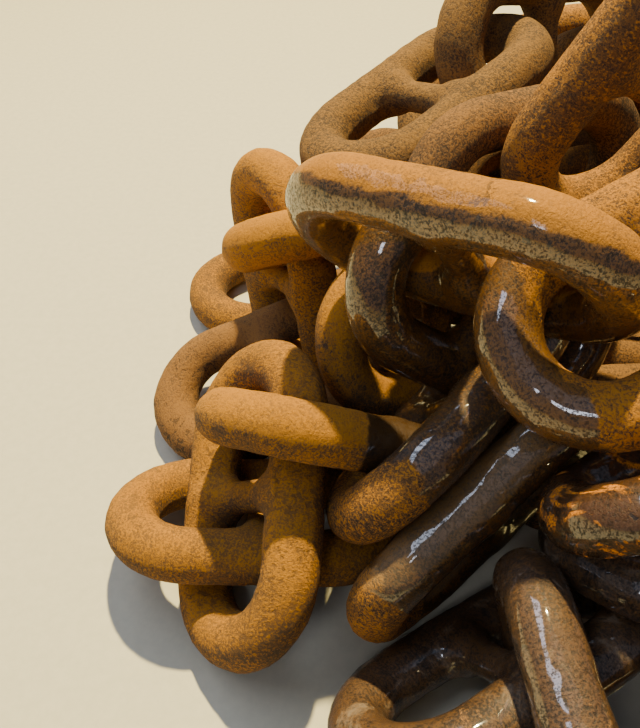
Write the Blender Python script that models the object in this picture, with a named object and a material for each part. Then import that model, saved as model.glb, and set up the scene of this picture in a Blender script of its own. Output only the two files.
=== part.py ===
"""A heap of heavy stud-link chain, the short lengths still linked, lying as it was dropped."""
import math

import bpy
import numpy as np
from mathutils import Matrix

# One link, in metres: a racetrack of round bar with a stud cast across its middle.
BAR_DIAMETER = 0.076
LINK_LENGTH = 0.456
LINK_WIDTH = 0.274
STUD_WAIST_DIAMETER = 0.046
STUD_WAIST_LENGTH = 0.060
STUD_FOOT_LENGTH = 0.074

# Links that touch keep this much air, so that no two solids share any volume.
CONTACT_GAP = 0.0005

# Faces round the bar, and straight steps round half of a crown.
BAR_SIDES = 8
CROWN_STEPS = 6

# The polygon section has the same area as the round bar.
SECTION_RADIUS = BAR_DIAMETER / 2 * math.sqrt(
    2 * math.pi / (BAR_SIDES * math.sin(2 * math.pi / BAR_SIDES)))
CROWN_RADIUS = (LINK_WIDTH - BAR_DIAMETER) / 2
HALF_STRAIGHT = (LINK_LENGTH - LINK_WIDTH) / 2
LINK_PITCH = LINK_LENGTH - 2 * BAR_DIAMETER - 2 * CONTACT_GAP

# Where the links in view lie, in link lengths: right, away, up, then in degrees
# the heading and rise of the long axis and the roll of the link about it.
SEEN_LENGTHS = {
    "low_chain": [
        (-0.90, -0.25, 0.30, 9, 22, -24),
        (-0.90, -0.10, 0.48, 90, 75, -46),
        (-0.60, -0.02, 0.70, 30, 8, -40),
    ],
    "long_chain": [
        (-0.76, -0.95, 0.14, 6, 3, -24),
        (-0.92, -0.85, 0.28, 88, 26, -58),
        (-0.64, -0.84, 0.43, 3, -8, -49),
        (-0.46, -0.81, 0.56, 48, 29, -62),
        (-0.31, -0.58, 0.88, 6, -31, 70),
        (-0.38, -0.66, 1.08, -30, -11, -65),
        (0.09, -0.90, 1.19, 4, 43, 9),
    ],
    "long_bar_link": [(-0.31, -1.04, 0.45, 34, 27, -72)],
    "painted_link": [(0.08, -1.12, 0.79, 10, 20, -51)],
    "crest_chain": [
        (-0.38, 0.06, 1.20, 53, 26, -16),
        (0.06, 0.46, 1.22, 40, -4, 60),
        (0.62, 0.70, 1.10, 15, -5, -35),
        (1.24, 0.82, 1.00, 8, -5, 50),
    ],
    "crest_bar_link": [(0.03, -0.26, 1.38, -11, 55, -62)],
    "under_crest_link": [(-0.13, -0.15, 1.00, 26, 4, -86)],
    "toe_chain": [
        (-0.30, -1.30, 0.20, 44, 5, -28),
        (-0.24, -1.55, 0.26, 95, 17, 80),
        (-0.36, -1.85, 0.12, 10, 0, 5),
    ],
    "near_dry_link": [(0.22, -1.82, 0.30, 60, 12, 60)],
    "right_toe_chain": [
        (0.30, -1.30, 0.42, -10, 5, -35),
        (0.85, -1.25, 0.42, -5, 0, 50),
    ],
    "upright_link": [(-0.37, -0.38, 0.52, 40, 0, 75)],
    "far_left_link": [(-0.84, 0.52, 0.09, 35, 0, 0)],
}

# The lengths of chain that lie under and behind them: first link's middle in link
# lengths, heading in degrees, how many links and the first link's roll.
HIDDEN_LENGTHS = {
    "bed_chain_1": ((0.25, -0.55, 0.25), 3, 2, 40),
    "bed_chain_2": ((-0.12, 0.16, 0.25), 0, 3, -45),
    "bed_chain_3": ((-0.38, 0.92, 0.25), 0, 4, 40),
    "right_low_chain": ((1.60, -1.12, 0.25), 94, 2, 45),
    "middle_chain_1": ((0.42, -0.12, 0.62), 0, 2, 50),
    "middle_chain_2": ((0.75, -0.78, 0.65), 4, 2, 45),
    "back_chain": ((-0.45, 0.60, 0.70), 2, 4, -40),
    "upper_chain": ((0.50, 0.30, 0.84), 0, 2, 40),
    "rear_chain_1": ((0.10, 1.12, 0.72), 0, 2, 60),
    "rear_chain_2": ((0.22, 1.08, 1.08), 4, 2, 45),
}


def turned(heading, rise, roll):
    """Axes of a lying link as columns: across it, along it and square to its plane."""
    heading, rise, roll = map(math.radians, (heading, rise, roll))
    along = np.array([
        math.cos(rise) * math.cos(heading),
        math.cos(rise) * math.sin(heading),
        math.sin(rise)])
    level = np.array([-math.sin(heading), math.cos(heading), 0.0])
    lifted = np.cross(along, level)
    across = math.cos(roll) * level + math.sin(roll) * lifted
    return np.column_stack([across, along, np.cross(across, along)])


def bar_rings():
    """Middle and outward direction of each ring of points round the racetrack."""
    foot = STUD_FOOT_LENGTH / 2
    leg = [-HALF_STRAIGHT, -foot, 0.0, foot, HALF_STRAIGHT]
    arc = [math.pi * step / CROWN_STEPS for step in range(1, CROWN_STEPS)]
    rings = [((CROWN_RADIUS, y), (1.0, 0.0)) for y in leg]
    for angle in arc:
        out = (math.cos(angle), math.sin(angle))
        rings.append(((CROWN_RADIUS * out[0], HALF_STRAIGHT + CROWN_RADIUS * out[1]), out))
    rings += [((-CROWN_RADIUS, y), (-1.0, 0.0)) for y in reversed(leg)]
    for angle in arc:
        out = (-math.cos(angle), -math.sin(angle))
        rings.append(((CROWN_RADIUS * out[0], CROWN_RADIUS * out[1] - HALF_STRAIGHT), out))
    return rings


def link_shape():
    """Points and faces of one link, and the convex lengths that it is made of."""
    rings = bar_rings()
    count = len(rings)
    points = []
    for (x, y), (out_x, out_y) in rings:
        for side in range(BAR_SIDES):
            angle = 2 * math.pi * (side + 0.5) / BAR_SIDES
            reach = SECTION_RADIUS * math.cos(angle)
            points.append((x + reach * out_x, y + reach * out_y, SECTION_RADIUS * math.sin(angle)))

    def at(ring, side):
        return (ring % count) * BAR_SIDES + side % BAR_SIDES

    # The stud's foot covers the three inner faces of each leg over two steps.
    inner = range(BAR_SIDES // 4, BAR_SIDES // 4 + 3)
    half = count // 2
    under_foot = {1, 2, half + 1, half + 2}
    faces = []
    for ring in range(count):
        for side in range(BAR_SIDES):
            if ring in under_foot and side in inner:
                continue
            faces.append((at(ring, side), at(ring + 1, side),
                          at(ring + 1, side + 1), at(ring, side + 1)))

    first, last = inner[0], inner[-1] + 1
    sides = list(range(first, last + 1))

    def foot_edge(high, middle, low):
        edge = [at(high, side) for side in sides]
        edge.append(at(middle, last))
        edge += [at(low, side) for side in reversed(sides)]
        edge.append(at(middle, first))
        return edge

    right_edge = foot_edge(3, 2, 1)
    left_edge = foot_edge(half + 1, half + 2, half + 3)
    waists = []
    for x in (STUD_WAIST_LENGTH / 2, -STUD_WAIST_LENGTH / 2):
        waist = []
        for corner in right_edge:
            y, z = points[corner][1], points[corner][2]
            scale = STUD_WAIST_DIAMETER / 2 / math.hypot(y, z)
            waist.append(len(points))
            points.append((x, y * scale, z * scale))
        waists.append(waist)
    stud = [right_edge, waists[0], waists[1], left_edge]
    for one, two in zip(stud, stud[1:]):
        for step in range(len(one)):
            after = (step + 1) % len(one)
            faces.append((one[step], one[after], two[after], two[step]))

    used = sorted({corner for face in faces for corner in face})
    renumbered = {old: new for new, old in enumerate(used)}
    mesh_points = [points[corner] for corner in used]
    mesh_faces = [tuple(renumbered[corner] for corner in face) for face in faces]

    # Convex lengths: the two legs, the steps of each crown, and the stud in three.
    def ring_points(ring):
        return [at(ring, side) for side in range(BAR_SIDES)]

    def middle(ring):
        (x, y), _ = rings[ring % count]
        return (x, y, 0.0)

    lengths = [(0, 4), (half, half + 4)]
    lengths += [(ring, ring + 1) for ring in range(4, half)]
    lengths += [(ring, ring + 1) for ring in range(half + 4, count)]
    hulls = []
    cores = []
    axes = []
    for start, end in lengths:
        hulls.append(ring_points(start) + ring_points(end))
        cores.append([middle(start)] * BAR_SIDES + [middle(end)] * BAR_SIDES)
        axes.append((middle(start), middle(end)))
    reach = CROWN_RADIUS - SECTION_RADIUS
    ends = (reach, STUD_WAIST_LENGTH / 2, -STUD_WAIST_LENGTH / 2, -reach)
    for (one, two), pair in zip(zip(stud, stud[1:]), zip(ends, ends[1:])):
        start, end = ((x, 0.0, 0.0) for x in pair)
        hulls.append(one + two)
        cores.append([start] * len(one) + [end] * len(two))
        axes.append((start, end))
    widest = max(len(hull) for hull in hulls)
    hulls = [hull + [hull[0]] * (widest - len(hull)) for hull in hulls]
    cores = [core + [core[0]] * (widest - len(core)) for core in cores]
    hulls = np.array(points)[np.array(hulls)]
    return mesh_points, mesh_faces, hulls, np.array(cores), np.array(axes)


def nearest_on_axes(start_a, end_a, start_b, end_b):
    """Nearest points of two sets of straight axes."""
    run_a = end_a - start_a
    run_b = end_b - start_b
    offset = start_a - start_b
    aa = (run_a * run_a).sum(1)
    bb = (run_b * run_b).sum(1)
    ab = (run_a * run_b).sum(1)
    ao = (run_a * offset).sum(1)
    bo = (run_b * offset).sum(1)
    spread = aa * bb - ab * ab
    parallel = spread < 1e-6 * aa * bb
    share_a = np.where(parallel, 0.5, (ab * bo - ao * bb) / np.where(parallel, 1.0, spread))
    share_a = np.clip(share_a, 0.0, 1.0)
    share_b = (ab * share_a + bo) / bb
    share_a = np.where(share_b < 0.0, np.clip(-ao / aa, 0.0, 1.0), share_a)
    share_a = np.where(share_b > 1.0, np.clip((ab - ao) / aa, 0.0, 1.0), share_a)
    share_b = np.clip(share_b, 0.0, 1.0)
    return start_a + run_a * share_a[:, None], start_b + run_b * share_b[:, None]


def small_turns(vectors):
    """Turn matrices for a set of rotation vectors."""
    angle = np.linalg.norm(vectors, axis=1)
    axis = vectors / np.maximum(angle, 1e-12)[:, None]
    x, y, z = axis.T
    zero = np.zeros_like(x)
    cross = np.stack([
        np.stack([zero, -z, y], 1),
        np.stack([z, zero, -x], 1),
        np.stack([-y, x, zero], 1)], 1)
    sine = np.sin(angle)[:, None, None]
    cosine = 1 - np.cos(angle)[:, None, None]
    return np.eye(3) + sine * cross + cosine * (cross @ cross)


def separation(hull_a, hull_b, normal):
    """Clear distance between pairs of convex lengths along a direction from b to a."""
    low_a = (hull_a @ normal[:, :, None])[:, :, 0].min(1)
    high_b = (hull_b @ normal[:, :, None])[:, :, 0].max(1)
    return low_a - high_b


def widest_apart(hull_a, hull_b, normal, gap):
    """Tilt each direction, in ever smaller steps, to where the pair is furthest apart."""
    normal = normal.copy()
    gap = gap.copy()
    for tilt in (0.20, 0.10, 0.05, 0.025, 0.012):
        aside = np.cross(normal, np.eye(3)[np.abs(normal).argmin(1)])
        aside /= np.linalg.norm(aside, axis=1)[:, None]
        upward = np.cross(normal, aside)
        for turn in range(6):
            angle = math.pi * turn / 3
            tried = normal + tilt * (math.cos(angle) * aside + math.sin(angle) * upward)
            tried /= np.linalg.norm(tried, axis=1)[:, None]
            wide = separation(hull_a, hull_b, tried)
            better = wide > gap
            normal[better] = tried[better]
            gap[better] = wide[better]
    return normal, gap


class Heap:
    """Places of all links, eased apart where they overlap and lowered until they rest."""

    def __init__(self, places, turns, seen, hulls, cores, axes):
        self.place = np.array(places)
        self.turn = np.array(turns)
        self.seen = np.array(seen)
        self.full_hulls = hulls
        self.hulls = hulls
        self.cores = cores
        self.axes = axes
        self.exact = False
        self.chosen_place = self.place.copy()
        self.chosen_turn = self.turn.copy()
        flat = hulls.reshape(-1, 3)
        spread = (flat ** 2).mean(0)
        self.resist = np.array([
            spread[1] + spread[2], spread[0] + spread[2], spread[0] + spread[1]])
        self.reach = np.linalg.norm(flat, axis=1).max()
        self.pose()
        self.find_neighbours(0.0)

    def thicken(self, share):
        """Give every bar this share of its full thickness."""
        self.hulls = self.cores + share * (self.full_hulls - self.cores)

    def pose(self):
        """World points of every convex length of every link."""
        self.world_hulls = np.einsum("nij,hkj->nhki", self.turn, self.hulls)
        self.world_hulls += self.place[:, None, None]
        self.world_axes = np.einsum("nij,hkj->nhki", self.turn, self.axes)
        self.world_axes += self.place[:, None, None]

    def find_neighbours(self, margin):
        count = len(self.place)
        one, two = np.triu_indices(count, 1)
        apart = np.linalg.norm(self.place[one] - self.place[two], axis=1)
        near = apart < 2 * self.reach + margin
        one, two = one[near], two[near]
        pieces = len(self.axes)
        first, second = np.meshgrid(np.arange(pieces), np.arange(pieces), indexing="ij")
        link_a = np.repeat(one, pieces * pieces)
        link_b = np.repeat(two, pieces * pieces)
        piece_a = np.tile(first.ravel(), len(one))
        piece_b = np.tile(second.ravel(), len(one))
        middle = self.world_axes.mean(2)
        length = np.linalg.norm(self.axes[:, 1] - self.axes[:, 0], axis=1) / 2
        apart = np.linalg.norm(middle[link_a, piece_a] - middle[link_b, piece_b], axis=1)
        limit = length[piece_a] + length[piece_b] + 2.2 * SECTION_RADIUS + margin
        near = apart < limit
        self.pairs = link_a[near], piece_a[near], link_b[near], piece_b[near]

    def contacts(self):
        """Separation of each near pair of convex lengths, measured along their normal."""
        link_a, piece_a, link_b, piece_b = self.pairs
        axes_a = self.world_axes[link_a, piece_a]
        axes_b = self.world_axes[link_b, piece_b]
        near_a, near_b = nearest_on_axes(axes_a[:, 0], axes_a[:, 1], axes_b[:, 0], axes_b[:, 1])
        normal = near_a - near_b
        apart = np.linalg.norm(normal, axis=1)
        close = apart < 2.4 * SECTION_RADIUS
        link_a, piece_a = link_a[close], piece_a[close]
        link_b, piece_b = link_b[close], piece_b[close]
        normal = normal[close] / np.maximum(apart[close], 1e-9)[:, None]
        middle = (near_a[close] + near_b[close]) / 2
        hull_a = self.world_hulls[link_a, piece_a]
        hull_b = self.world_hulls[link_b, piece_b]
        gap = separation(hull_a, hull_b, normal)
        if self.exact:
            near = gap < CONTACT_GAP
            normal[near], gap[near] = widest_apart(
                hull_a[near], hull_b[near], normal[near], gap[near])
        return link_a, link_b, normal, middle, gap

    def step(self, drop, hold, ease=1.0, grip=0.5):
        """Lower the links a little, then push overlapping ones apart with friction."""
        before_place = self.place.copy()
        before_turn = self.turn.copy()
        self.place[:, 2] -= drop
        if hold > 0:
            wanted = self.chosen_place - self.place
            self.place += hold * self.seen[:, None] * wanted
            back = np.einsum("nij,nkj->nik", self.chosen_turn, self.turn)
            lean = np.stack([
                back[:, 2, 1] - back[:, 1, 2],
                back[:, 0, 2] - back[:, 2, 0],
                back[:, 1, 0] - back[:, 0, 1]], 1) / 2
            self.turn = small_turns(hold * self.seen[:, None] * lean) @ self.turn
        self.pose()
        link_a, link_b, normal, middle, gap = self.contacts()
        inverse = np.einsum("nij,j,nkj->nik", self.turn, 1 / self.resist, self.turn)

        def leverage(link, arm, way):
            swing = np.cross(arm, way)
            return 1 + (swing * np.einsum("nij,nj->ni", inverse[link], swing)).sum(1)

        pressed = gap < CONTACT_GAP
        link_a, link_b = link_a[pressed], link_b[pressed]
        normal, middle, gap = normal[pressed], middle[pressed], gap[pressed]
        lowest = self.world_hulls[:, :, :, 2].argmin(2)
        link_g, piece_g = np.nonzero(self.world_hulls[:, :, :, 2].min(2) < 0)
        foot = self.world_hulls[link_g, piece_g, lowest[link_g, piece_g]]
        up = np.tile([0.0, 0.0, 1.0], (len(link_g), 1))

        contact_link = np.concatenate([link_a, link_g])
        other = np.concatenate([link_b, np.full(len(link_g), -1)])
        way = np.concatenate([normal, up])
        where = np.concatenate([middle, foot])
        depth = np.concatenate([CONTACT_GAP - gap, -foot[:, 2]])
        paired = other >= 0
        arm_a = where - self.place[contact_link]
        arm_b = where - self.place[other]
        weight = leverage(contact_link, arm_a, way)
        weight += np.where(paired, leverage(other, arm_b, way), 0.0)
        push = depth / weight

        # Friction: take back part of the sliding at each contact.
        def moved(link, arm):
            local = np.einsum("nji,nj->ni", self.turn[link], arm)
            old = np.einsum("nij,nj->ni", before_turn[link], local) + before_place[link]
            return arm + self.place[link] - old

        slide = moved(contact_link, arm_a) - np.where(paired[:, None], moved(other, arm_b), 0.0)
        slide -= (slide * way).sum(1)[:, None] * way
        length = np.linalg.norm(slide, axis=1)
        back_way = -slide / np.maximum(length, 1e-12)[:, None]
        drag = leverage(contact_link, arm_a, back_way)
        drag += np.where(paired, leverage(other, arm_b, back_way), 0.0)
        back_push = np.minimum(length / drag, grip * push)
        impulse = push[:, None] * way + back_push[:, None] * back_way

        count = len(self.place)
        touches = np.bincount(contact_link, minlength=count).astype(float)
        touches += np.bincount(other[paired], minlength=count)
        share = ease / np.maximum(touches, 1.0)
        shift = np.zeros((count, 3))
        swing = np.zeros((count, 3))
        np.add.at(shift, contact_link, impulse)
        np.add.at(swing, contact_link, np.cross(arm_a, impulse))
        np.add.at(shift, other[paired], -impulse[paired])
        np.add.at(swing, other[paired], -np.cross(arm_b[paired], impulse[paired]))
        swing = np.einsum("nij,nj->ni", inverse, swing)
        self.place += share[:, None] * shift
        self.turn = small_turns(share[:, None] * swing) @ self.turn
        return float(depth.max()) if len(depth) else 0.0

    def run(self, steps, drop, hold, ease=1.0, grip=0.5):
        worst = 0.0
        for step in range(steps):
            if step % 6 == 0:
                self.pose()
                self.find_neighbours(0.25 * SECTION_RADIUS + 12 * drop)
            worst = self.step(drop, hold, ease, grip)
        return worst


def laid_links():
    """Names, places and axes of every link before they are eased to rest."""
    names = []
    places = []
    turns = []
    seen = []
    for chain, links in SEEN_LENGTHS.items():
        for number, (x, y, z, heading, rise, roll) in enumerate(links, 1):
            names.append(chain if len(links) == 1 else f"{chain}_link_{number}")
            places.append(np.array([x, y, z]) * LINK_LENGTH)
            turns.append(turned(heading, rise, roll))
            seen.append(1.0)
    for chain, (start, heading, count, roll) in HIDDEN_LENGTHS.items():
        along = turned(heading, 0.0, 0.0)[:, 1]
        for number in range(count):
            names.append(f"{chain}_link_{number + 1}")
            places.append(np.array(start) * LINK_LENGTH + along * LINK_PITCH * number)
            turns.append(turned(heading, 0.0, roll + 90 * (number % 2)))
            seen.append(0.0)
    return names, places, turns, seen


def rested_heap(hulls, cores, axes):
    """The links eased apart, lowered until they rest, then cleared of every overlap."""
    names, places, turns, seen = laid_links()
    heap = Heap(places, turns, seen, hulls, cores, axes)
    fine = LINK_LENGTH / 1000
    for share in np.linspace(0.3, 1.0, 15):
        heap.thicken(share)
        heap.run(12, 0.0, 0.05)
    heap.run(300, 1.0 * fine, 0.05)
    heap.run(200, 0.3 * fine, 0.0)
    heap.exact = True
    heap.run(150, 0.1 * fine, 0.0)
    heap.run(100, 0.03 * fine, 0.0)
    for _ in range(20):
        if heap.run(30, 0.0, 0.0, ease=1.2, grip=0.0) < 0.5 * CONTACT_GAP:
            break
    return names, heap


def rusty_metal(name):
    material = bpy.data.materials.new(name)
    material.use_nodes = True
    surface = material.node_tree.nodes["Principled BSDF"]
    surface.inputs["Base Color"].default_value = (0.30, 0.12, 0.035, 1.0)
    surface.inputs["Roughness"].default_value = 0.85
    surface.inputs["Metallic"].default_value = 0.1
    return material


def main():
    for old in list(bpy.data.objects):
        bpy.data.objects.remove(old, do_unlink=True)
    mesh_points, mesh_faces, hulls, cores, axes = link_shape()
    names, heap = rested_heap(hulls, cores, axes)
    corners = np.einsum("nij,kj->nki", heap.turn, np.array(mesh_points)) + heap.place[:, None]
    low = corners.min((0, 1))
    high = corners.max((0, 1))
    middle = np.array([(low[0] + high[0]) / 2, (low[1] + high[1]) / 2, low[2]])
    for name, place, turn in zip(names, heap.place, heap.turn):
        mesh = bpy.data.meshes.new(name)
        mesh.from_pydata(mesh_points, [], mesh_faces)
        mesh.update()
        for face in mesh.polygons:
            face.use_smooth = True
        mesh.materials.append(rusty_metal(name))
        link = bpy.data.objects.new(name, mesh)
        matrix = np.eye(4)
        matrix[:3, :3] = turn
        matrix[:3, 3] = place - middle
        link.matrix_world = Matrix(matrix.tolist())
        bpy.context.scene.collection.objects.link(link)


main()
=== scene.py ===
import math

import bpy
import numpy as np
from mathutils import Matrix, Vector


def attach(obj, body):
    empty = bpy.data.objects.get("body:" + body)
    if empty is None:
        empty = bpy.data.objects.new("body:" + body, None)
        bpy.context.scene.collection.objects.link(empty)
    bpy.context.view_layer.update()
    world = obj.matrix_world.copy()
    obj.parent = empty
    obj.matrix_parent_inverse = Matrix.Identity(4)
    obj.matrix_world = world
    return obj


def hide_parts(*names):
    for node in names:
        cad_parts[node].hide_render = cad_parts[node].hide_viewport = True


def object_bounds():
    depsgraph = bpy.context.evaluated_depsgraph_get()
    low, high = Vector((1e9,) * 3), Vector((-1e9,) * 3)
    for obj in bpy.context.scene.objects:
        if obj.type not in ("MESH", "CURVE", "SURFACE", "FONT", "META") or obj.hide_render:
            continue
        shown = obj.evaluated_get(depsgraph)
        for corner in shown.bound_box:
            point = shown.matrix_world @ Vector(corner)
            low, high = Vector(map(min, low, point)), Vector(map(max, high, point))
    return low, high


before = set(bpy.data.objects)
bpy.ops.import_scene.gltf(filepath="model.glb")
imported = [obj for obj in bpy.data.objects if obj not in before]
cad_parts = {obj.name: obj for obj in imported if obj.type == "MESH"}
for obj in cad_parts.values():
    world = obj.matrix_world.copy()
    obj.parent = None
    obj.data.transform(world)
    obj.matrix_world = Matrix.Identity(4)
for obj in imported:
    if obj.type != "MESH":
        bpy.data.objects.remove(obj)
cadLow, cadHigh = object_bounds()
print("frame loaded:", len(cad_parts), "links")


# the shape of one link

linkShape = {
    "barRadius": 0.038,         # 76 mm bar
    "crownRadius": 0.099,       # middle line of the bar round each end
    "halfStraight": 0.091,
    "studWaistRadius": 0.023,
    "studWaistHalf": 0.024,
    "studFootRadius": 0.036,
    "studFootHalf": 0.037,
    "studFlareInto": 0.8,       # the flare ends this far from the bar's middle, as a share of it
    "fillet": 0.014,            # soft corner between stud and bar
    "ridgeHeight": 0.0008,      # parting ridge left by the mould
    "ridgeHalfWidth": 0.0034,
    "cageSides": 8,
    "cageReach": 1.1,           # the cage's bar and waist, as shares of the real radii
    "cageWaist": 1.05,
    "cageStudSpots": (0.034, 0.0, -0.034),
    "crownSteps": 6,
    "slopeStep": 0.0002,
    "settleSteps": 10,
    "seenLevels": 3,
    "hiddenLevels": 2,
}

# unevenness of the casting: height, length and number of each kind of wave
castingWaves = {
    "slow": {"height": 0.0006, "length": 0.11, "count": 9},
    "quick": {"height": 0.00030, "length": 0.028, "count": 14},
    "fine": {"height": 0.00020, "length": 0.014, "count": 18},
}
waveLengthSpread = (0.7, 1.4)

seeds = {"shape": 100, "pattern": 500}


def linkCage():
    # coarse cage of the racetrack bar, open under the stud's feet, and the stud between them
    shape = linkShape
    sides = shape["cageSides"]
    reach = shape["barRadius"] * shape["cageReach"]
    crown = shape["crownRadius"]
    straight = shape["halfStraight"]
    foot = shape["studFootHalf"]
    # half of the rings, each as its middle and its outward way; the other half lies opposite
    rings = [((crown, y), (1.0, 0.0)) for y in (-straight, -foot, 0.0, foot, straight)]
    for step in range(1, shape["crownSteps"]):
        turn = math.pi * step / shape["crownSteps"]
        outX, outY = math.cos(turn), math.sin(turn)
        rings.append(((crown * outX, straight + crown * outY), (outX, outY)))
    rings += [((-x, -y), (-outX, -outY)) for (x, y), (outX, outY) in rings]
    points = []
    for (x, y), (outX, outY) in rings:
        for side in range(sides):
            turn = 2 * math.pi * (side + 0.5) / sides
            out = reach * math.cos(turn)
            points.append((x + out * outX, y + out * outY, reach * math.sin(turn)))
    count = len(rings)

    def at(ring, side):
        return (ring % count) * sides + side % sides

    inner = range(sides // 4, sides // 4 + 3)
    half = count // 2
    faces = []
    for ring in range(count):
        for side in range(sides):
            if ring in (1, 2, half + 1, half + 2) and side in inner:
                continue
            faces.append((at(ring, side), at(ring + 1, side),
                          at(ring + 1, side + 1), at(ring, side + 1)))
    first, last = inner[0], inner[-1] + 1

    def footLoop(high, middle, low):
        loop = [at(high, side) for side in range(first, last + 1)]
        loop.append(at(middle, last))
        loop += [at(low, side) for side in range(last, first - 1, -1)]
        loop.append(at(middle, first))
        return loop

    rightLoop = footLoop(3, 2, 1)
    leftLoop = footLoop(half + 1, half + 2, half + 3)
    loops = [rightLoop]
    for x in shape["cageStudSpots"]:
        loop = []
        for corner in rightLoop:
            y, z = points[corner][1], points[corner][2]
            scale = shape["studWaistRadius"] * shape["cageWaist"] / math.hypot(y, z)
            loop.append(len(points))
            points.append((x, y * scale, z * scale))
        loops.append(loop)
    loops.append(leftLoop)
    for one, two in zip(loops, loops[1:]):
        for step in range(len(one)):
            after = (step + 1) % len(one)
            faces.append((one[step], one[after], two[after], two[step]))
    used = sorted({corner for face in faces for corner in face})
    renumber = {old: new for new, old in enumerate(used)}
    return [points[corner] for corner in used], [[renumber[c] for c in face] for face in faces]


def linkField(p):
    # signed distance to a real link: round bar, ridge, flared stud, and a fillet between them
    shape = linkShape
    x, y, z = p.T
    past = np.maximum(np.abs(y) - shape["halfStraight"], 0.0)
    outward = np.hypot(x, past) - shape["crownRadius"]
    ridge = shape["ridgeHeight"] * np.exp(-(z / shape["ridgeHalfWidth"]) ** 2)
    bar = np.hypot(outward, z) - shape["barRadius"] - ridge
    flareEnd = shape["crownRadius"] - shape["studFlareInto"] * shape["barRadius"]
    reach = flareEnd - shape["studWaistHalf"]
    flare = np.clip((np.abs(x) - shape["studWaistHalf"]) / reach, 0.0, 1.0)
    flare = flare * flare * (3 - 2 * flare)
    radius = shape["studWaistRadius"] + (shape["studFootRadius"] - shape["studWaistRadius"]) * flare
    stud = np.maximum(np.hypot(y, z) - radius, np.abs(x) - shape["crownRadius"])
    fillet = shape["fillet"]
    share = np.clip(0.5 + 0.5 * (stud - bar) / fillet, 0.0, 1.0)
    return stud + (bar - stud) * share - fillet * share * (1 - share)


def fieldSlope(p):
    step = linkShape["slopeStep"]
    slope = np.empty_like(p)
    for axis in range(3):
        shift = np.zeros(3)
        shift[axis] = step
        slope[:, axis] = (linkField(p + shift) - linkField(p - shift)) / (2 * step)
    return slope


def smoothLink(levels):
    # subdivide the cage, then settle each point on the link's true surface
    points, faces = linkCage()
    cage = bpy.data.meshes.new("linkCage")
    cage.from_pydata(points, [], faces)
    holder = bpy.data.objects.new("linkCage", cage)
    bpy.context.scene.collection.objects.link(holder)
    rounder = holder.modifiers.new("round", "SUBSURF")
    rounder.levels = levels
    graph = bpy.context.evaluated_depsgraph_get()
    mesh = bpy.data.meshes.new_from_object(holder.evaluated_get(graph))
    bpy.data.objects.remove(holder)
    spots = np.array([v.co for v in mesh.vertices], float)
    for _ in range(linkShape["settleSteps"]):
        slope = fieldSlope(spots)
        spots -= (linkField(spots) / (slope ** 2).sum(1))[:, None] * slope
    slope = fieldSlope(spots)
    outward = slope / np.linalg.norm(slope, axis=1)[:, None]
    mesh.polygons.foreach_set("use_smooth", [True] * len(mesh.polygons))
    print("link with", levels, "subdivisions:", len(mesh.polygons), "faces")
    return mesh, spots, outward


def unevenness(spots, seed):
    # waves of a casting, different on every link
    draw = np.random.default_rng(seed)
    height = np.zeros(len(spots))
    for wave in castingWaves.values():
        share = wave["height"] / math.sqrt(wave["count"])
        for _ in range(wave["count"]):
            way = draw.normal(size=3)
            waveLength = wave["length"] * draw.uniform(*waveLengthSpread)
            way *= 2 * math.pi / waveLength / np.linalg.norm(way)
            height += share * np.sin(spots @ way + draw.uniform(0, 2 * math.pi))
    return height


def linkPose(node):
    # middle and axes of a CAD link: x across it, y along it, z square to it
    spots = np.unique(np.round([v.co for v in node.data.vertices], 4), axis=0)
    middle = spots.mean(0)
    _, ways = np.linalg.eigh(np.cov((spots - middle).T))
    along, across = ways[:, 2], ways[:, 1]
    if along[0] < 0:
        along = -along
    if across[2] < 0:
        across = -across
    square = np.cross(across, along)
    pose = np.eye(4)
    pose[:3, :3] = np.column_stack([across, along, square])
    pose[:3, 3] = middle
    return pose


# shader nodes

def feed(tree, made, inputs):
    # link a socket to an input, or set the input's own value
    for key, value in inputs.items():
        if isinstance(value, bpy.types.NodeSocket):
            tree.links.new(value, made.inputs[key])
        else:
            made.inputs[key].default_value = value
    return made


def addNode(tree, kind, inputs, **settings):
    made = tree.nodes.new(kind)
    for key, value in settings.items():
        setattr(made, key, value)
    return feed(tree, made, inputs)


def mathNode(tree, operation, one, two=None, clamp=False):
    values = {0: one} if two is None else {0: one, 1: two}
    return addNode(tree, "ShaderNodeMath", values, operation=operation, use_clamp=clamp).outputs[0]


def oneMinus(tree, value):
    return mathNode(tree, "SUBTRACT", 1.0, value)


def fromMiddle(tree, value):
    return mathNode(tree, "SUBTRACT", value, 0.5)


def vectorNode(tree, operation, one, two):
    made = addNode(tree, "ShaderNodeVectorMath", {0: one, 1: two}, operation=operation)
    return made.outputs["Value" if operation == "DOT_PRODUCT" else "Vector"]


def rangeNode(tree, value, low, high, toLow=0.0, toHigh=1.0):
    return addNode(tree, "ShaderNodeMapRange", {
        "Value": value, "From Min": low, "From Max": high, "To Min": toLow, "To Max": toHigh},
        interpolation_type="SMOOTHSTEP").outputs[0]


def mixColour(tree, share, one, two, blend="MIX"):
    # inputs 6 and 7 and output 2 are the mix node's colours
    return addNode(tree, "ShaderNodeMix", {0: share, 6: one, 7: two},
                   data_type="RGBA", blend_type=blend).outputs[2]


def noiseNode(tree, point, scale, detail, roughness, distortion):
    return addNode(tree, "ShaderNodeTexNoise", {
        "Vector": point, "Scale": scale, "Detail": detail, "Roughness": roughness,
        "Distortion": distortion}).outputs["Fac"]


def spreadNoise(tree, point, width, **noise):
    # noise stretched so that it fills 0 to 1
    return rangeNode(tree, noiseNode(tree, point, **noise), 0.5 - width, 0.5 + width)


def strandLines(tree, point, width, **noise):
    # thin curling lines, where a noise crosses its middle
    away = mathNode(tree, "ABSOLUTE", fromMiddle(tree, noiseNode(tree, point, **noise)))
    return rangeNode(tree, away, width, 0.0)


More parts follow.
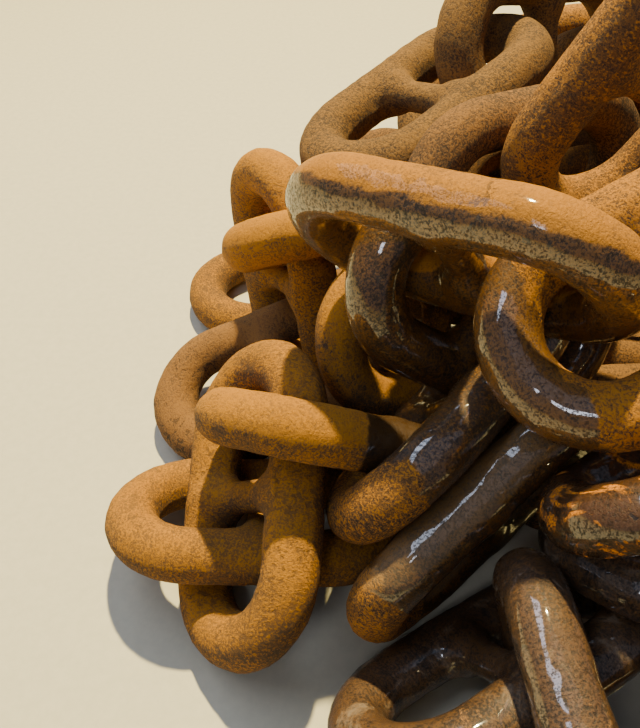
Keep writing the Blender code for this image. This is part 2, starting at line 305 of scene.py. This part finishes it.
def patches(tree, level, amount, top, fall, edge):
    # where a level passes a limit, which falls from the top as the amount grows
    lowest = mathNode(tree, "SUBTRACT", top, mathNode(tree, "MULTIPLY", amount, fall))
    return rangeNode(tree, level, lowest, mathNode(tree, "ADD", lowest, edge))


def weightedSum(tree, layers, weights):
    total = None
    for name, weight in weights.items():
        part = mathNode(tree, "MULTIPLY", layers[name], weight)
        total = part if total is None else mathNode(tree, "ADD", total, part)
    return total


# shader groups

def newGroup(name, inputs, outputs):
    group = bpy.data.node_groups.new(name, "ShaderNodeTree")
    for label, kind, value in inputs:
        socket = group.interface.new_socket(name=label, in_out="INPUT", socket_type=kind)
        if value is not None:
            socket.default_value = value
    for label, kind in outputs:
        group.interface.new_socket(name=label, in_out="OUTPUT", socket_type=kind)
    return group, group.nodes.new("NodeGroupInput"), group.nodes.new("NodeGroupOutput")


rustCoatValues = {
    "drawnOut": (0.7, 1.3, 0.7),        # grain and wide strands lie longer across the link
    "broad": {"scale": 8.0, "detail": 4.0, "roughness": 0.6, "distortion": 0.6, "width": 0.2},
    "patch": {"scale": 30.0, "detail": 5.0, "roughness": 0.62, "distortion": 0.6, "width": 0.2},
    "blotch": {"scale": 75.0, "detail": 4.0, "roughness": 0.65, "distortion": 0.5, "width": 0.17},
    "grain": {"scale": 190.0, "detail": 5.0, "roughness": 0.75, "distortion": 0.4, "width": 0.11},
    "speck": {"scale": 320.0, "detail": 3.0, "roughness": 0.75, "distortion": 0.0, "width": 0.08},
    "toneWeights": {"broad": 0.18, "patch": 0.15, "blotch": 0.09, "grain": 0.22, "speck": 0.36},
    "darkToMiddle": (0.26, 0.51),       # tones over which one colour gives way to the next
    "middleToBright": (0.47, 0.71),
    "wideStrand": {"scale": 36.0, "detail": 3.0, "roughness": 0.5, "distortion": 2.6,
                   "width": 0.060},
    "fineStrand": {"scale": 80.0, "detail": 3.0, "roughness": 0.5, "distortion": 2.0,
                   "width": 0.075},
    "strandArea": {"scale": 9.0, "detail": 3.0, "roughness": 0.55, "distortion": 0.5,
                   "width": 0.16},
    "strandAreaRange": (0.1, 0.8, 0.25, 1.0),
    "pit": {"scale": 105.0, "detail": 4.0, "roughness": 0.62, "distortion": 0.4},
    "pitRange": (0.56, 0.62),
    "pitArea": {"scale": 13.0, "detail": 4.0, "roughness": 0.65, "distortion": 0.4,
                "width": 0.2},
    "pitAreaLimit": {"top": 1.0, "fall": 1.0, "edge": 0.25},
    "pitDarkness": 0.85,
    "poreWeights": {"grain": 0.45, "speck": 0.55},
    "poreRange": (0.46, 0.34),
    "heightWeights": {"blotch": 0.16, "grain": 0.40, "speck": 0.34, "streak": 0.10, "pit": -0.8},
}


def rustCoatGroup():
    # rust mottled in five sizes, with clustered pits and hair-like streaks
    group, source, result = newGroup("rustCoat", [
        ("Point", "NodeSocketVector", None),
        ("Bright", "NodeSocketColor", (0.55, 0.22, 0.04, 1)),
        ("Middle", "NodeSocketColor", (0.28, 0.11, 0.03, 1)),
        ("Dark", "NodeSocketColor", (0.09, 0.04, 0.018, 1)),
        ("Balance", "NodeSocketFloat", 0.5),
        ("Pits", "NodeSocketFloat", 0.4),
        ("Streaks", "NodeSocketFloat", 0.3),
    ], [("Colour", "NodeSocketColor"), ("Height", "NodeSocketFloat"), ("Pores", "NodeSocketFloat")])
    values = rustCoatValues
    take = source.outputs
    point = take["Point"]
    drawn = vectorNode(group, "MULTIPLY", point, values["drawnOut"])
    layers = {name: spreadNoise(group, drawn if name == "grain" else point, **values[name])
              for name in ("broad", "patch", "blotch", "grain", "speck")}
    tone = weightedSum(group, layers, values["toneWeights"])
    tone = mathNode(group, "ADD", tone, fromMiddle(group, take["Balance"]))
    colour = mixColour(group, rangeNode(group, tone, *values["darkToMiddle"]),
                       take["Dark"], take["Middle"])
    colour = mixColour(group, rangeNode(group, tone, *values["middleToBright"]),
                       colour, take["Bright"])
    # streaks in two sizes, denser in some places
    streak = mathNode(group, "MAXIMUM", strandLines(group, drawn, **values["wideStrand"]),
                      strandLines(group, point, **values["fineStrand"]))
    area = spreadNoise(group, point, **values["strandArea"])
    streak = mathNode(group, "MULTIPLY", streak,
                      rangeNode(group, area, *values["strandAreaRange"]))
    streak = mathNode(group, "MULTIPLY", streak, take["Streaks"], clamp=True)
    colour = mixColour(group, streak, colour, take["Bright"])
    # dark pits of uneven shape, in clusters
    pit = rangeNode(group, noiseNode(group, point, **values["pit"]), *values["pitRange"])
    area = spreadNoise(group, point, **values["pitArea"])
    pit = mathNode(group, "MULTIPLY", pit,
                   patches(group, area, take["Pits"], **values["pitAreaLimit"]))
    colour = mixColour(group, mathNode(group, "MULTIPLY", pit, values["pitDarkness"]),
                       colour, take["Dark"])
    # fine hollows between the grains, outside the pits, where a thin film breaks
    hollow = rangeNode(group, weightedSum(group, layers, values["poreWeights"]),
                       *values["poreRange"])
    pores = mathNode(group, "MULTIPLY", hollow, oneMinus(group, pit))
    height = weightedSum(group, {**layers, "streak": streak, "pit": pit},
                         values["heightWeights"])
    feed(group, result, {"Colour": colour, "Height": height, "Pores": pores})
    return group


wetFilmValues = {
    "edge": {"scale": 16.0, "detail": 4.0, "roughness": 0.55, "distortion": 0.8},
    "edgeRange": (-0.002, 0.004),
    "island": {"scale": 12.0, "detail": 6.0, "roughness": 0.62, "distortion": 1.0},
    "islandLimit": {"top": 0.80, "fall": 0.5, "edge": 0.05},
}


def wetFilmGroup():
    # where a wet film lies: past an edge across the link, ragged, with dry islands
    group, source, result = newGroup("wetFilm", [
        ("Point", "NodeSocketVector", None),
        ("Toward", "NodeSocketVector", None),
        ("Start", "NodeSocketFloat", 0.0),
        ("Ragged", "NodeSocketFloat", 0.05),
        ("Islands", "NodeSocketFloat", 0.2),
    ], [("Mask", "NodeSocketFloat")])
    values = wetFilmValues
    take = source.outputs
    reach = vectorNode(group, "DOT_PRODUCT", take["Point"], take["Toward"])
    edge = fromMiddle(group, noiseNode(group, take["Point"], **values["edge"]))
    edge = mathNode(group, "MULTIPLY", edge, take["Ragged"])
    reach = mathNode(group, "ADD", mathNode(group, "SUBTRACT", reach, take["Start"]), edge)
    film = rangeNode(group, reach, *values["edgeRange"])
    island = noiseNode(group, take["Point"], **values["island"])
    dry = patches(group, island, take["Islands"], **values["islandLimit"])
    feed(group, result, {"Mask": mathNode(group, "MULTIPLY", film, oneMinus(group, dry))})
    return group


dustLayerValues = {
    "smear": {"scale": 13.0, "detail": 8.0, "roughness": 0.68, "distortion": 1.4},
    "smearLimit": {"top": 0.80, "fall": 0.5, "edge": 0.16},
    "thickest": 0.8,            # how much of the steel's colour dust can cover
}


def dustLayerGroup():
    # dried dust and mud lying thin over the steel, in smears
    group, source, result = newGroup("dustLayer", [
        ("Point", "NodeSocketVector", None),
        ("Colour", "NodeSocketColor", (0.2, 0.1, 0.05, 1)),
        ("Dust", "NodeSocketColor", (0.27, 0.19, 0.125, 1)),
        ("Amount", "NodeSocketFloat", 0.3),
    ], [("Colour", "NodeSocketColor"), ("Mask", "NodeSocketFloat")])
    values = dustLayerValues
    take = source.outputs
    smear = noiseNode(group, take["Point"], **values["smear"])
    mask = patches(group, smear, take["Amount"], **values["smearLimit"])
    mask = mathNode(group, "MULTIPLY", mask, values["thickest"])
    colour = mixColour(group, mask, take["Colour"], take["Dust"])
    feed(group, result, {"Colour": colour, "Mask": mask})
    return group


topLightAndBloomMaskValues = {
    "edge": {"scale": 26.0, "detail": 8.0, "roughness": 0.72, "distortion": 0.0},
}


def topLightAndBloomMaskGroup():
    # painted sunlight on faces turned upward, partly loose bright rust there: a mask that is full
    # where the surface faces up
    group, source, result = newGroup("topLightAndBloomMask", [
        ("Normal", "NodeSocketVector", None),
        ("Upward", "NodeSocketVector", None),
        ("Point", "NodeSocketVector", None),
        ("Amount", "NodeSocketFloat", 0.4),
        ("Low", "NodeSocketFloat", 0.15),
        ("High", "NodeSocketFloat", 0.85),
        ("Ragged", "NodeSocketFloat", 0.9),
    ], [("Mask", "NodeSocketFloat")])
    take = source.outputs
    facing = vectorNode(group, "DOT_PRODUCT", take["Normal"], take["Upward"])
    edge = fromMiddle(group, noiseNode(group, take["Point"], **topLightAndBloomMaskValues["edge"]))
    facing = mathNode(group, "ADD", facing, mathNode(group, "MULTIPLY", edge, take["Ragged"]))
    mask = rangeNode(group, facing, take["Low"], take["High"])
    feed(group, result, {"Mask": mathNode(group, "MULTIPLY", mask, take["Amount"])})
    return group


groups = {
    "rustCoat": rustCoatGroup(),
    "wetFilm": wetFilmGroup(),
    "dustLayer": dustLayerGroup(),
    "topLightAndBloomMask": topLightAndBloomMaskGroup(),
}
print("shader groups built:", len(groups))


# finishes

# what every finish and link has unless it says otherwise
plainLook = {
    "topLightAndBloomLow": 0.15,           # how far up a face looks where the painted top light and loose rust start, and are full
    "topLightAndBloomHigh": 0.85,
    "topLightAndBloomRagged": 0.9,
    "topLightAndBloomTint": 0.35,
    "dust": 0.0,
    "dryTop": 0.0,              # how far the painted top light and loose rust keep the film off upward faces
    "wetStart": 9.0,            # metres along wetToward; 9 is dry all over, -9 wet all over
    "wetToward": (0.0, 0.0, 0.0),
    "wetRagged": 0.0,
    "wetDarken": 0.34,          # wet rust keeps this share of its colour
    "islands": 0.0,
}

# plain finishes: colours in linear light, then how much of each effect
finishes = {
    "orangeDry": {
        "bright": (0.42, 0.164, 0.004),
        "middle": (0.205, 0.086, 0.017),
        "dark": (0.066, 0.038, 0.022),
        "balance": 0.48, "pits": 0.30, "streaks": 0.25, "topLightAndBloom": 0.80},
    "brownDry": {
        "bright": (0.24, 0.104, 0.024),
        "middle": (0.105, 0.052, 0.022),
        "dark": (0.028, 0.018, 0.012),
        "balance": 0.50, "pits": 0.50, "streaks": 0.30, "topLightAndBloom": 0.30, "dust": 0.08},
    "yellowDry": {
        "bright": (0.22, 0.100, 0.020),
        "middle": (0.115, 0.058, 0.018),
        "dark": (0.038, 0.022, 0.013),
        "balance": 0.50, "pits": 0.25, "streaks": 0.45, "topLightAndBloom": 0.15, "dust": 0.05},
    "swirlDry": {
        "bright": (0.42, 0.165, 0.014),
        "middle": (0.130, 0.058, 0.018),
        "dark": (0.058, 0.031, 0.016),
        "balance": 0.44, "pits": 0.15, "streaks": 1.0, "topLightAndBloom": 0.12},
    "wetDark": {
        "bright": (0.44, 0.168, 0.008),
        "middle": (0.150, 0.066, 0.020),
        "dark": (0.040, 0.023, 0.014),
        "balance": 0.46, "pits": 0.30, "streaks": 0.30, "topLightAndBloom": 0.20,
        "wetStart": -9.0, "islands": 0.20},
    "dustyWet": {
        "bright": (0.34, 0.155, 0.048),
        "middle": (0.150, 0.080, 0.042),
        "dark": (0.036, 0.024, 0.018),
        "balance": 0.48, "pits": 0.35, "streaks": 0.35, "topLightAndBloom": 0.20, "dust": 0.55,
        "wetStart": -9.0, "islands": 0.30},
    "chippedBlack": {
        "bright": (0.66, 0.215, 0.006),
        "middle": (0.30, 0.100, 0.008),
        "dark": (0.016, 0.011, 0.008),
        "balance": 0.46, "pits": 0.60, "streaks": 0.40, "topLightAndBloom": 0.40,
        "wetStart": -9.0, "wetDarken": 0.10, "islands": 0.50},
}

# the links in view: their finish, and what differs from it;
# wetToward is in the link's own axes: across (upward), along (to the right), square
linkLooks = {
    "low_chain_link_1": {"finish": "brownDry", "balance": 0.52, "topLightAndBloom": 0.7},
    "low_chain_link_2": {"finish": "orangeDry"},
    "low_chain_link_3": {"finish": "orangeDry", "balance": 0.64, "pits": 0.15},
    "far_left_link": {"finish": "orangeDry", "balance": 0.36, "topLightAndBloom": 0.4},
    "upright_link": {"finish": "orangeDry", "balance": 0.34, "topLightAndBloom": 0.95, "topLightAndBloomLow": 0.25,
                     "topLightAndBloomHigh": 0.65, "pits": 0.4, "streaks": 0.6},
    "long_chain_link_1": {"finish": "orangeDry", "balance": 0.34, "topLightAndBloom": 0.7, "pits": 0.3},
    "long_chain_link_2": {"finish": "orangeDry", "balance": 0.36, "topLightAndBloom": 0.9, "pits": 0.75},
    "long_chain_link_3": {"finish": "orangeDry", "balance": 0.44, "topLightAndBloom": 0.95, "topLightAndBloomLow": 0.35,
                          "topLightAndBloomHigh": 0.60, "wetStart": -0.03, "wetToward": (0.2, 1, 0),
                          "wetRagged": 0.03, "wetDarken": 0.12, "islands": 0.1},
    "long_chain_link_4": {"finish": "wetDark", "wetStart": -0.135, "wetToward": (0.1, 1, 0),
                          "wetRagged": 0.10, "islands": 0.15},
    "long_chain_link_5": {"finish": "wetDark", "islands": 0.15},
    "long_chain_link_6": {"finish": "wetDark", "balance": 0.54, "topLightAndBloom": 0.9, "topLightAndBloomLow": 0.50,
                          "topLightAndBloomHigh": 0.62, "topLightAndBloomRagged": 0.35, "dryTop": 0.95, "islands": 0.15},
    "long_chain_link_7": {"finish": "wetDark", "balance": 0.60, "wetStart": 0.145,
                          "wetToward": (0, -1, 0), "wetRagged": 0.05, "islands": 0.10},
    # painted sunlit sheen: the upward faces of this link turn khaki and keep part of the film off
    "long_bar_link": {"finish": "wetDark", "topLightAndBloom": 0.8, "topLightAndBloomColour": (0.27, 0.19, 0.10),
                      "topLightAndBloomTint": 0.6, "topLightAndBloomLow": 0.45, "topLightAndBloomHigh": 0.65, "topLightAndBloomRagged": 0.4,
                      "dryTop": 0.3, "wetStart": -0.14, "wetToward": (0.1, 1, 0),
                      "wetRagged": 0.10, "islands": 0.2},
    "painted_link": {"finish": "chippedBlack"},
    "crest_chain_link_1": {"finish": "yellowDry"},
    "crest_chain_link_2": {"finish": "yellowDry", "balance": 0.56},
    "crest_chain_link_3": {"finish": "brownDry"},
    "crest_chain_link_4": {"finish": "brownDry"},
    "crest_bar_link": {"finish": "swirlDry"},
    "under_crest_link": {"finish": "brownDry", "balance": 0.42, "pits": 0.25},
    "toe_chain_link_1": {"finish": "dustyWet"},
    "toe_chain_link_2": {"finish": "dustyWet", "islands": 0.25},
    "toe_chain_link_3": {"finish": "wetDark", "dust": 0.3},
    "near_dry_link": {"finish": "orangeDry", "balance": 0.34, "topLightAndBloom": 0.4},
    "right_toe_chain_link_1": {"finish": "dustyWet", "islands": 0.30},
    "right_toe_chain_link_2": {"finish": "dustyWet"},
}
hiddenFinishes = ("brownDry", "yellowDry", "brownDry", "swirlDry", "brownDry")

surfaceValues = {
    "patternShift": 20.0,       # each link takes its pattern from within this far
    "topLightAndBloomLift": 0.24,          # how far the painted top light and loose rust brighten the mottling on upward faces
    "dryRoughness": 0.86,
    "wetRoughness": 0.50,
    "dustOverFilm": 0.8,        # how far dust dulls the film
    "coatShare": 1.0,
    "poreShare": 0.85,          # how far the pores break the film
    "coatRoughness": 0.07,
    "coatIor": 1.75,
    "rustIor": 1.45,
    "rustSpecular": 0.4,
    "reliefDistance": 0.0013,
    "dryRelief": 0.9,
    "wetRelief": 0.45,
}


def linkMaterial(name, look, pose, seed):
    values = {**plainLook, **finishes[look["finish"]], **look}
    surface = surfaceValues
    material = bpy.data.materials.new(name)
    material.use_nodes = True
    tree = material.node_tree
    tree.nodes.clear()
    place = tree.nodes.new("ShaderNodeTexCoord")
    # from the heap's frame to the link's own axes, so that the pattern lies along the link
    home = Matrix(pose.tolist()).inverted()
    linkSpot = addNode(tree, "ShaderNodeMapping", {
        "Vector": place.outputs["Object"], "Location": home.translation,
        "Rotation": home.to_euler()}, vector_type="POINT").outputs[0]
    draw = np.random.default_rng(seed)
    shift = surface["patternShift"]
    shifted = vectorNode(tree, "ADD", linkSpot, tuple(draw.uniform(-shift, shift, 3)))

    def group(kind, inputs):
        return addNode(tree, "ShaderNodeGroup", inputs, node_tree=groups[kind]).outputs

    def dryToWet(dry, wet):
        return mathNode(tree, "ADD", dry, mathNode(tree, "MULTIPLY", film, wet - dry))

    def broken(whole, mask, share):
        # less of a whole where a mask is full
        return mathNode(tree, "MULTIPLY", whole,
                        oneMinus(tree, mathNode(tree, "MULTIPLY", mask, share)))

    # painted sunlight on upward faces, partly loose rust bloom: a top-facing mask that raises the
    # tone of the rust
    topLightAndBloom = group("topLightAndBloomMask", {
        "Normal": place.outputs["Normal"], "Upward": (0.0, 0.0, 1.0), "Point": shifted,
        "Amount": values["topLightAndBloom"], "Low": values["topLightAndBloomLow"], "High": values["topLightAndBloomHigh"],
        "Ragged": values["topLightAndBloomRagged"]})["Mask"]
    rust = group("rustCoat", {
        "Point": shifted, "Bright": (*values["bright"], 1), "Middle": (*values["middle"], 1),
        "Dark": (*values["dark"], 1), "Pits": values["pits"], "Streaks": values["streaks"],
        "Balance": mathNode(tree, "ADD", values["balance"],
                            mathNode(tree, "MULTIPLY", topLightAndBloom, surface["topLightAndBloomLift"]))})
    # painted top light: upward faces tinted toward the bright colour
    topLitAndBloomed = mixColour(tree, mathNode(tree, "MULTIPLY", topLightAndBloom, values["topLightAndBloomTint"]),
                        rust["Colour"], (*values.get("topLightAndBloomColour", values["bright"]), 1))
    dust = group("dustLayer", {"Point": shifted, "Colour": topLitAndBloomed, "Amount": values["dust"]})
    film = group("wetFilm", {
        "Point": linkSpot, "Toward": values["wetToward"], "Start": values["wetStart"],
        "Ragged": values["wetRagged"], "Islands": values["islands"]})["Mask"]
    film = broken(film, dust["Mask"], surface["dustOverFilm"])
    film = broken(film, topLightAndBloom, values["dryTop"])
    darker = mixColour(tree, 1.0, dust["Colour"], (values["wetDarken"],) * 3 + (1,), "MULTIPLY")
    relief = mathNode(tree, "MULTIPLY", rust["Height"],
                      dryToWet(surface["dryRelief"], surface["wetRelief"]))
    bump = addNode(tree, "ShaderNodeBump", {
        "Height": relief, "Distance": surface["reliefDistance"], "Strength": 1.0})
    coat = mathNode(tree, "MULTIPLY", film, surface["coatShare"])
    shader = addNode(tree, "ShaderNodeBsdfPrincipled", {
        "Base Color": mixColour(tree, film, dust["Colour"], darker),
        "Roughness": dryToWet(surface["dryRoughness"], surface["wetRoughness"]),
        "Metallic": 0.0,
        "Normal": bump.outputs[0],
        "Coat Weight": broken(coat, rust["Pores"], surface["poreShare"]),
        "Coat Roughness": surface["coatRoughness"],
        "Coat IOR": surface["coatIor"],
        "IOR": surface["rustIor"],
        "Specular IOR Level": surface["rustSpecular"]})
    output = tree.nodes.new("ShaderNodeOutputMaterial")
    tree.links.new(shader.outputs[0], output.inputs[0])
    return material


# the links

seenMesh = smoothLink(linkShape["seenLevels"])
hiddenMesh = smoothLink(linkShape["hiddenLevels"])

for number, name in enumerate(sorted(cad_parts)):
    pose = linkPose(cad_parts[name])
    look = linkLooks.get(name)
    mesh, spots, outward = seenMesh if look else hiddenMesh
    if look is None:
        look = {"finish": hiddenFinishes[number % len(hiddenFinishes)]}
    turn, middle = pose[:3, :3], pose[:3, 3]
    shaped = spots + unevenness(spots, seeds["shape"] + number)[:, None] * outward
    # rests on the floor and stays in the CAD box
    placed = np.clip(shaped @ turn.T + middle, np.array(cadLow), np.array(cadHigh))
    body = mesh.copy()
    body.name = name + "_cast"
    body.vertices.foreach_set("co", placed.ravel())
    body.update()
    piece = bpy.data.objects.new(name + "_cast", body)
    bpy.context.scene.collection.objects.link(piece)
    body.materials.append(linkMaterial(name + "Rust", look, pose, seeds["pattern"] + number))
    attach(piece, "root")
    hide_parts(name)
print("links dressed:", len(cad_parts))


# floor, light and camera

stageValues = {
    "floorSize": 14.0,
    "floorColour": (0.58, 0.51, 0.37, 1),
    "floorShade": 0.93,         # darkest share of the floor's colour
    "floorGrain": {"scale": 60.0, "detail": 5.0, "roughness": 0.6, "distortion": 0.0,
                   "width": 0.2},
    "floorRoughness": 0.85,
    "worldColour": (0.60, 0.75, 1.0, 1),
    "worldStrength": 0.18,
    "lightTarget": (0.0, 0.0, 0.3),
    "cameraPlace": (-0.4685, -0.8454, 1.02),
    "cameraPitch": 44.0,        # degrees below level
    "cameraLens": 37.1,
    "cameraSensor": 36.0,
}

stageLights = {
    "keyLight": {"place": (-0.2, 3.45, 8.0), "size": (0.28, 0.28), "power": 2500.0,
                 "colour": (1.0, 0.86, 0.42)},
    "leftPanel": {"place": (-1.9, 0.5, 2.7), "size": (3.0, 0.8), "power": 52.0,
                  "colour": (0.66, 0.78, 1.0)},
    "skyPanel": {"place": (-0.4, -1.1, 3.0), "size": (2.6, 2.6), "power": 6.0,
                 "colour": (0.56, 0.71, 1.0)},
    "sidePanel": {"place": (-1.3, -2.2, 2.5), "size": (0.6, 0.6), "power": 13.0,
                  "colour": (0.80, 0.87, 1.0)},
}

floorMesh = bpy.data.meshes.new("floor")
half = stageValues["floorSize"] / 2
floorMesh.from_pydata([(-half, -half, 0), (half, -half, 0), (half, half, 0), (-half, half, 0)],
                      [], [(0, 1, 2, 3)])
floor = bpy.data.objects.new("floor", floorMesh)
bpy.context.scene.collection.objects.link(floor)
floorMaterial = bpy.data.materials.new("paleFloor")
floorMaterial.use_nodes = True
floorTree = floorMaterial.node_tree
floorPlace = floorTree.nodes.new("ShaderNodeTexCoord")
floorGrain = spreadNoise(floorTree, floorPlace.outputs["Object"], **stageValues["floorGrain"])
floorColour = stageValues["floorColour"]
shadedFloor = tuple(stageValues["floorShade"] * c for c in floorColour)
feed(floorTree, floorTree.nodes["Principled BSDF"], {
    "Base Color": mixColour(floorTree, floorGrain, floorColour, shadedFloor),
    "Roughness": stageValues["floorRoughness"]})
floorMesh.materials.append(floorMaterial)

world = bpy.context.scene.world or bpy.data.worlds.new("studio")
bpy.context.scene.world = world
world.use_nodes = True
worldNodes = world.node_tree.nodes
backdrop = worldNodes.get("Background") or worldNodes.new("ShaderNodeBackground")
feed(world.node_tree, backdrop, {
    "Color": stageValues["worldColour"], "Strength": stageValues["worldStrength"]})


def softLight(name, place, size, power, colour):
    light = bpy.data.lights.new(name, "AREA")
    light.shape = "RECTANGLE"
    light.size, light.size_y = size
    light.energy = power
    light.color = colour
    lamp = bpy.data.objects.new(name, light)
    bpy.context.scene.collection.objects.link(lamp)
    lamp.location = place
    way = Vector(stageValues["lightTarget"]) - Vector(place)
    lamp.rotation_euler = way.to_track_quat("-Z", "Y").to_euler()


for name, values in stageLights.items():
    softLight(name, **values)

cameraData = bpy.data.cameras.new("camera")
cameraData.lens = stageValues["cameraLens"]
cameraData.sensor_width = stageValues["cameraSensor"]
camera = bpy.data.objects.new("camera", cameraData)
bpy.context.scene.collection.objects.link(camera)
camera.location = stageValues["cameraPlace"]
camera.rotation_euler = (math.radians(90 - stageValues["cameraPitch"]), 0.0, 0.0)
bpy.context.scene.camera = camera
print("stage ready")
